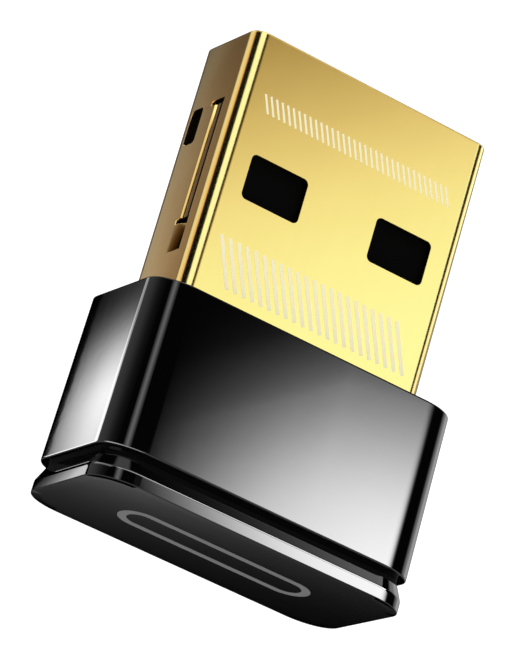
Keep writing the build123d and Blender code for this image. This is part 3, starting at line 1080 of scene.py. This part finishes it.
# A softbox set by where the camera sees its mirror image in a flat face at one point.
# Its reach is measured on the lamp, in millimetres from that image, along two of the face's axes.
# Its ramps are measured on the face, in millimetres from the point, unless marked as on the lamp:
# one along each of the two axes, and others along any direction between them.
def makeSoftbox(name, values):
    v = {**softboxBasics, **values}
    location = Vector(cameraValues["location"])
    point = Vector(v["point"]) * mm
    normal = Vector(v["normal"]).normalized()
    ray = (point - location).normalized()
    bounce = ray - 2 * ray.dot(normal) * normal
    firstAxis, secondAxis = [Vector(axis) for axis in v["axes"]]
    first = (firstAxis - firstAxis.dot(bounce) * bounce).normalized()
    second = secondAxis - secondAxis.dot(bounce) * bounce
    second = (second - second.dot(first) * first).normalized()
    (firstLow, firstHigh), (secondLow, secondHigh) = v["reach"]
    sign = 1 if first.cross(second).dot(bounce) > 0 else -1
    data = bpy.data.lights.new(name, "AREA")
    data.shape = "RECTANGLE"
    data.size = (firstHigh - firstLow) * mm
    data.size_y = (secondHigh - secondLow) * mm
    data.energy = v["radiance"] * math.pi * data.size * data.size_y
    data.color = v["colour"]
    light = bpy.data.objects.new(name, data)
    scene.collection.objects.link(light)
    middle = point + bounce * v["distance"] * mm
    middle += first * (firstLow + firstHigh) / 2 * mm
    middle += second * (secondLow + secondHigh) / 2 * mm
    turn = Matrix((first * sign, second, bounce)).transposed().to_4x4()
    light.matrix_world = Matrix.Translation(middle) @ turn
    light.visible_camera = light.visible_diffuse = False
    light.light_linking.receiver_collection = v["receivers"]
    if not (v["ramps"] or v["firstRamp"] or v["secondRamp"]):
        return
    ratio = 1 + v["distance"] * mm / (point - location).length
    spanFirst = ratio * first.dot(firstAxis)
    lean = ratio * first.dot(secondAxis)
    spanSecond = ratio * second.dot(secondAxis)

    def onLamp(toward):
        if v["onLamp"]:
            return toward
        return (toward[0] / spanFirst, (toward[1] - toward[0] * lean / spanFirst) / spanSecond)

    data.use_nodes = True
    tree = data.node_tree
    surface = addNode(tree, "ShaderNodeNewGeometry", {})["Parametric"]
    span = ((firstHigh - firstLow) * sign, secondHigh - secondLow, 0)
    corner = (firstLow if sign > 0 else firstHigh, secondLow, 0)
    place = vectorNode(tree, "MULTIPLY_ADD", surface, span, corner)["Vector"]
    ramps = [((1, 0), v["firstRamp"]), ((0, 1), v["secondRamp"]), *v["ramps"]]
    colour = white
    for toward, stops, *limit in ramps:
        if not stops:
            continue
        limit = [(onLamp(direction), offset) for direction, offset in limit]
        shade = rampColour(tree, place, onLamp(toward), stops, *limit)
        colour = vectorNode(tree, "MULTIPLY", colour, shade)["Vector"]
    feed(tree, tree.nodes["Emission"], {"Color": colour})


housingOnly = receivers("housingOnly", housingBody)
capOnly = receivers("capOnly", endCap)
blackPieces = receivers("blackPieces", housingBody, endCap)
goldPieces = receivers("goldPieces", plugShell, fineBars, boldBars)
tabsOnly = receivers("tabsOnly", catchTabs)

topZ = axisZ + baseDepth / 2
shellTopZ = axisZ + shellDepth / 2
faceAxes = ((1, 0, 0), (0, -1, 0))
sideAxes = ((0, -1, 0), (0, 0, 1))
sideFade = {-12: 0.4, -9: 0.6, -5: 0.8, -1: 1}
softboxBasics = {
    "axes": faceAxes,
    "distance": 130,
    "colour": white,
    "onLamp": False,
    "firstRamp": None,
    "secondRamp": None,
    "ramps": (),
}
softboxes = {
    "keyHousing": {
        "receivers": housingOnly,
        "point": (0, mouthY, topZ - 0.1),
        "normal": (0, 0.014, 1),
        "reach": ((-45, 72), (-40, 80)),
        "distance": 150,
        "radiance": 22.0,
        "firstRamp": {
            -6.3: 0, -5.5: 0.1, -4.5: 0.22, -3: 0.42, -1.5: 0.6, 0: 0.75, 2: 0.82, 4: 0.95,
            6: 1, 10: 1, 17: 0.95, 20: 0.91, 24: 0.81, 27: 0.66, 30.5: 0.49, 34: 0.27, 38: 0.06,
            42: 0,
        },
        "ramps": [
            (
                (0.62, 0.86),
                {-3: 0, -1: 0.01, 0: 0.05, 1: 0.1, 2: 0.2, 4: 0.5, 6: 0.82, 8: 0.98, 10: 1},
                ((0.145, 0.86), 0.95),
            ),
        ],
    },
    "keyCap": {
        "receivers": capOnly,
        "point": (0, rimY, topZ),
        "normal": (0, 0, 1),
        "reach": ((-45, 92), (-20, 60)),
        "distance": 150,
        "radiance": 22.0,
        "firstRamp": {
            -6.2: 0, -5.8: 0.03, -5: 0.085, -4: 0.16, -3: 0.275, -2: 0.4, -1: 0.54, 0: 0.65,
            1: 0.76, 2: 0.84, 3: 0.91, 4: 0.95, 6: 1, 15: 1, 25: 0.93, 31: 0.85, 36: 0.7,
            41: 0.5, 46: 0.25, 50: 0.05, 54: 0,
        },
    },
    "rimLineCap": {
        "receivers": capOnly,
        "point": (0, rimY, topZ),
        "normal": (0, 0.2, 0.98),
        "reach": ((-220, 60), (-22, 22)),
        "distance": 150,
        "radiance": 22.0,
        "firstRamp": {-70: 0.25, -8: 0.3, -3: 0.5, 2: 0.85, 6: 1},
    },
    "rimCornerCap": {
        "receivers": capOnly,
        "point": (-6.9, rimY, topZ - 0.7),
        "normal": (-0.8, 0.25, 0.55),
        "axes": sideAxes,
        "reach": ((-25, 25), (-45, 125)),
        "radiance": 3.0,
    },
    "slopeCap": {
        "receivers": capOnly,
        "point": (0, rimY + 0.4, topZ - 0.2),
        "normal": (0, 0.428, 0.904),
        "reach": ((-30, 30), (-10, 10)),
        "distance": 150,
        "radiance": 2.0,
        "firstRamp": {-6: 0, -3: 0.05, 0: 0.2, 3: 0.55, 6: 1},
    },
    "sideHousing": {
        "receivers": housingOnly,
        "point": (-7.45, mouthY - 3, axisZ),
        "normal": (-1, 0.014, 0),
        "axes": sideAxes,
        "reach": ((-12, 24), (-1.35, 6)),
        "distance": 120,
        "radiance": 6.7,
        "firstRamp": {
            -3: 0.03, -2: 0.05, -1: 0.2, 0: 0.48, 1: 0.78, 2: 0.97, 3: 1, 4.4: 0.8,
        },
        "secondRamp": {-2.6: 0, -1.8: 0.25, -1: 0.42, 0.4: 0.72, 1.8: 1, 2.6: 1},
    },
    "sideLineHousing": {
        "receivers": housingOnly,
        "point": (-7.45, mouthY - 3, axisZ),
        "normal": (-1, 0.014, 0),
        "axes": sideAxes,
        "reach": ((-25, 60), (6, 52)),
        "distance": 120,
        "radiance": 11.0,
        "onLamp": True,
        "firstRamp": {-5.5: 0.25, -3.14: 0.4, 0: 0.9, 5.03: 1},
    },
    "sideCap": {
        "receivers": capOnly,
        "point": (-7.5, endY + 0.3, axisZ),
        "normal": (-1, 0, 0),
        "axes": sideAxes,
        "reach": ((-1.9, 2.4), (-1.4, 20)),
        "distance": 120,
        "radiance": 4.2,
        "secondRamp": {
            -2.5: 0.02, -2.1: 0.04, -1.5: 0.08, -0.9: 0.165, 0: 0.35, 0.9: 0.6, 1.5: 0.79,
            2.1: 1, 3: 1,
        },
    },
    "cornerBlack": {
        "receivers": blackPieces,
        "point": (-7.0, mouthY - 3, topZ - 0.8),
        "normal": (-0.892, 0, 0.452),
        "axes": sideAxes,
        "reach": ((-60, 160), (-75, 200)),
        "radiance": 0.62,
        "onLamp": True,
        "secondRamp": {
            -75: 0.9, -28: 1, 0: 1, 24: 0.87, 47: 0.54, 70: 0.34, 92: 0.175, 122: 0.11,
            150: 0.035, 200: 0,
        },
    },
    "cornerLineBlack": {
        "receivers": blackPieces,
        "point": (-6.6, mouthY - 3, topZ - 0.3),
        "normal": (-0.41, 0, 0.912),
        "axes": ((0, -1, 0), (1, 0, 0)),
        "reach": ((-60, 60), (-20, 20)),
        "radiance": 3.4,
        "onLamp": True,
        "secondRamp": {-20: 0, -9: 0.45, 0: 1, 9: 0.45, 20: 0},
    },
    "rightEdgeBlack": {
        "receivers": blackPieces,
        "point": (7.0, mouthY - 3, topZ - 0.7),
        "normal": (0.629, 0, 0.777),
        "axes": sideAxes,
        "reach": ((-60, 60), (-60, 62)),
        "radiance": 1.7,
        "onLamp": True,
        "secondRamp": {
            -60: 0, -44: 0.3, -17: 0.66, 0: 1, 15: 0.68, 28: 0.47, 39: 0.37, 48: 0.15, 55: 0,
        },
    },
    "baseLineHousing": {
        "receivers": housingOnly,
        "point": (-6.3, baseY, topZ - 0.4),
        "normal": (-0.583, -0.423, 0.694),
        "reach": ((-120, 450), (-60, 20)),
        "radiance": 10.0,
    },
    "endCapFace": {
        "receivers": capOnly,
        "point": (0, endY, axisZ),
        "normal": (0, -1, 0),
        "axes": ((1, 0, 0), (0, 0, 1)),
        "reach": ((-24, 24), (-9, 9)),
        "distance": 120,
        "radiance": 0.42,
        "firstRamp": {-7.5: 1, -4: 0.55, 0: 0.3, 4: 0.2, 7.5: 0.1},
        "secondRamp": {-4: 0.1, -1: 0.27, 1: 0.45, 2.5: 0.75, 4: 1},
    },
    "frontGold": {
        "receivers": goldPieces,
        "point": (0, mouthY, shellTopZ),
        "normal": (0, 0, 1),
        "reach": ((-60, 42), (-80, 60)),
        "distance": 170,
        "radiance": 1.36,
        "firstRamp": {-33: (0.2, 0.14, 0.02), -22.5: (0.2, 0.14, 0.02), -20.5: 1, -10: 1},
        "ramps": [
            (
                (0.58, 0.92),
                {-16: (0.12, 0.09, 0.04), -12.7: (0.29, 0.23, 0.12), -10.9: (0.46, 0.375, 0.25),
                 -8.2: (0.72, 0.66, 0.51), -5.4: (0.77, 0.86, 0.71), 0: (0.79, 0.995, 0.96)},
            ),
        ],
    },
    "tipGold": {
        "receivers": goldPieces,
        "point": (0, tipY - 0.05, shellTopZ),
        "normal": (0, 0.3, 0.954),
        "reach": ((-60, 60), (-40, 40)),
        "radiance": 0.7,
        "colour": (1.0, 0.85, 0.7),
    },
    "bendHighGold": {
        "receivers": goldPieces,
        "point": (-5.6, mouthY + 6, shellTopZ - 0.1),
        "normal": (-0.4, 0, 0.917),
        "reach": ((-43, 43), (-60, 60)),
        "radiance": 1.25,
        "colour": (0.87, 1.0, 1.0),
    },
    "bendLowGold": {
        "receivers": goldPieces,
        "point": (-5.82, mouthY + 6, shellTopZ - 0.38),
        "normal": (-0.92, 0, 0.39),
        "axes": sideAxes,
        "reach": ((-60, 60), (-84, 46)),
        "radiance": 0.97,
        "colour": (0.86, 0.86, 0.8),
        "onLamp": True,
        "secondRamp": {
            -84: 0.4, -65: 0.8, -45: 1, -5: 1, 24: (1.0, 0.75, 0.5), 46: (0.8, 0.42, 0.2),
        },
    },
    "sideGold": {
        "receivers": goldPieces,
        "point": (-6.0, mouthY, axisZ),
        "normal": (-1, 0, 0),
        "axes": sideAxes,
        "reach": ((-60, 30), (-2.1, 12)),
        "radiance": 0.91,
        "firstRamp": sideFade,
        "secondRamp": {
            -2: (0.6, 0.65, 0.85), -1: (0.55, 0.45, 0.45), 0: (0.38, 0.32, 0.32),
            1: (0.28, 0.2, 0.17),
        },
    },
    "stripGold": {
        "receivers": goldPieces,
        "point": (-6.0, mouthY, axisZ),
        "normal": (-1, 0, 0),
        "axes": sideAxes,
        "reach": ((-60, 30), (-50, -12)),
        "radiance": 0.91,
        "colour": (0.34, 0.25, 0.24),
        "firstRamp": sideFade,
    },
    "sideTabs": {
        "receivers": tabsOnly,
        "point": (-6.0, mouthY + 2.5, axisZ),
        "normal": (-1, 0, 0),
        "axes": sideAxes,
        "reach": ((-60, 30), (-60, 150)),
        "radiance": 0.5,
        "onLamp": True,
        "secondRamp": {
            0: (0.5, 0.42, 0.5), 14: (0.4, 0.29, 0.24), 36: (0.26, 0.15, 0.08),
            80: (0.1, 0.045, 0.015), 150: 0,
        },
    },
    "rightGold": {
        "receivers": goldPieces,
        "point": (5.7, mouthY + 6, shellTopZ - 0.05),
        "normal": (0.43, 0, 0.903),
        "reach": ((-15, 15), (-60, 60)),
        "radiance": 1.25,
    },
}

makeWorld()
makeFloor()
makeFlag()
makeFill()
for softboxName, softbox in softboxes.items():
    makeSoftbox(softboxName, softbox)
scene.view_settings.view_transform = "Standard"
print("stage: studio")
